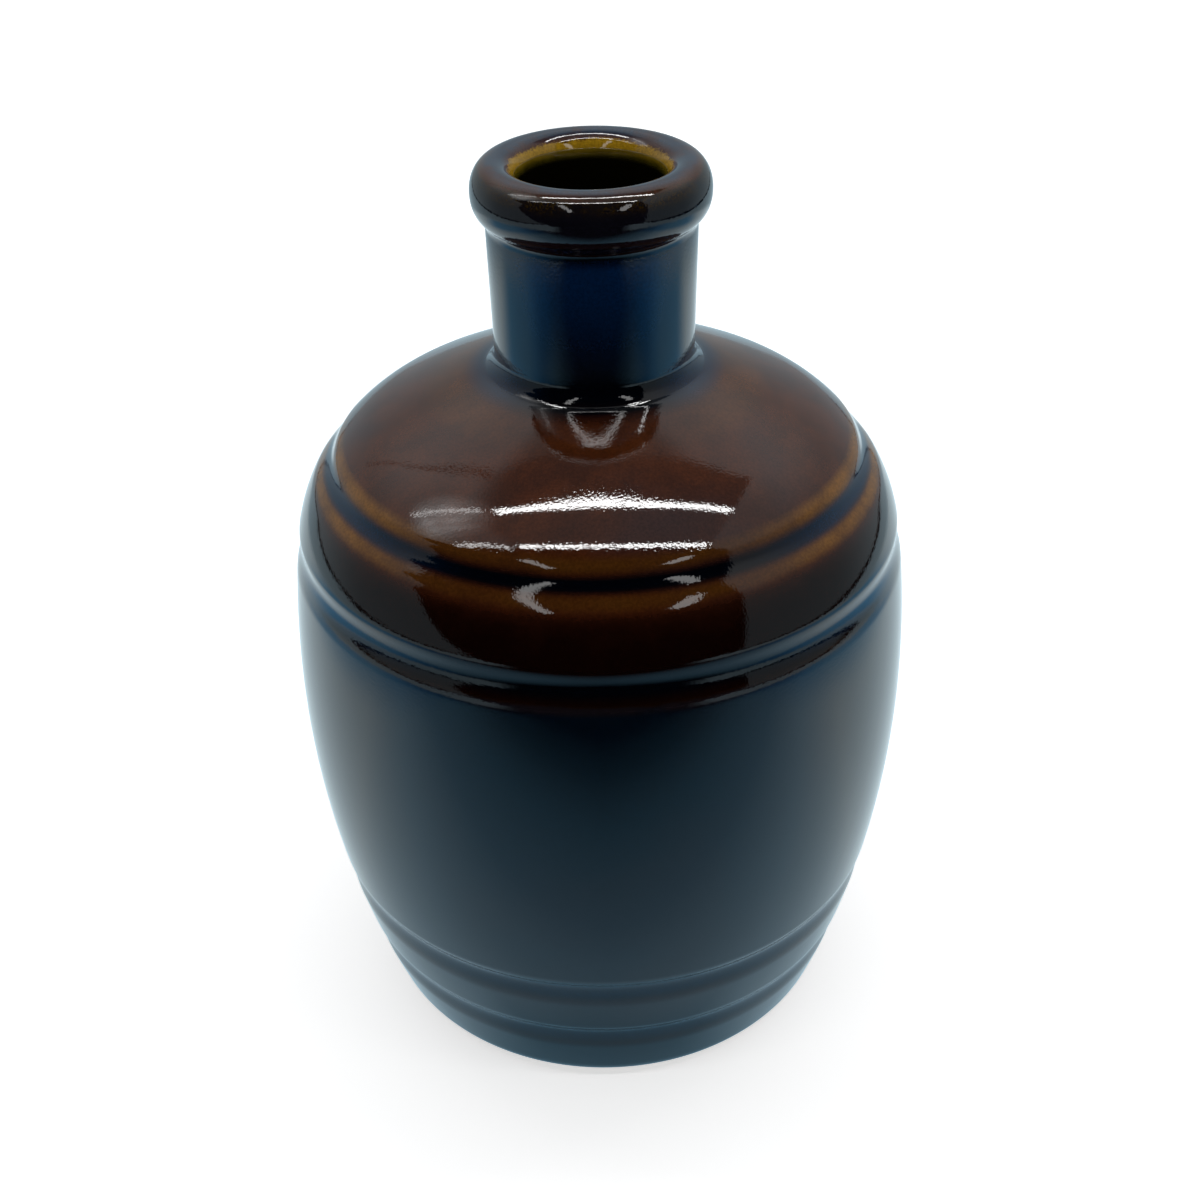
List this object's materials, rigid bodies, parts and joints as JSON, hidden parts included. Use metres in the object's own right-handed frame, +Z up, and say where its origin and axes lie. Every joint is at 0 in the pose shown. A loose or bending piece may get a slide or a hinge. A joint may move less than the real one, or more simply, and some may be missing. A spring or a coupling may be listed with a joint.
{
  "type": "ceramic wine decanter",
  "caption": "Barrel-shaped stoneware wine flagon with hoop grooves, a plain neck and a rolled open lip; dark gloss glaze outside, honey glaze lining.",
  "frame": {"origin": "middle of the foot ring, on the surface that the flagon stands on", "axes": "+Z up along the flagon's axis; the flagon is round, so X and Y are any two directions square to it"},
  "size_m": [0.111, 0.111, 0.1625],
  "materials": {
    "bare_clay": "fired unglazed stoneware, matte",
    "dark_glaze": "high-gloss dark brown-blue glaze, amber where thin and blue where it pools",
    "honey_glaze": "glossy honey-olive liner glaze"
  },
  "bodies": {
    "root": {"stoneware_body": "bare_clay", "outer_glaze": "dark_glaze", "liner_glaze": "honey_glaze", "base_glaze": "dark_glaze"}
  },
  "joints": []
}
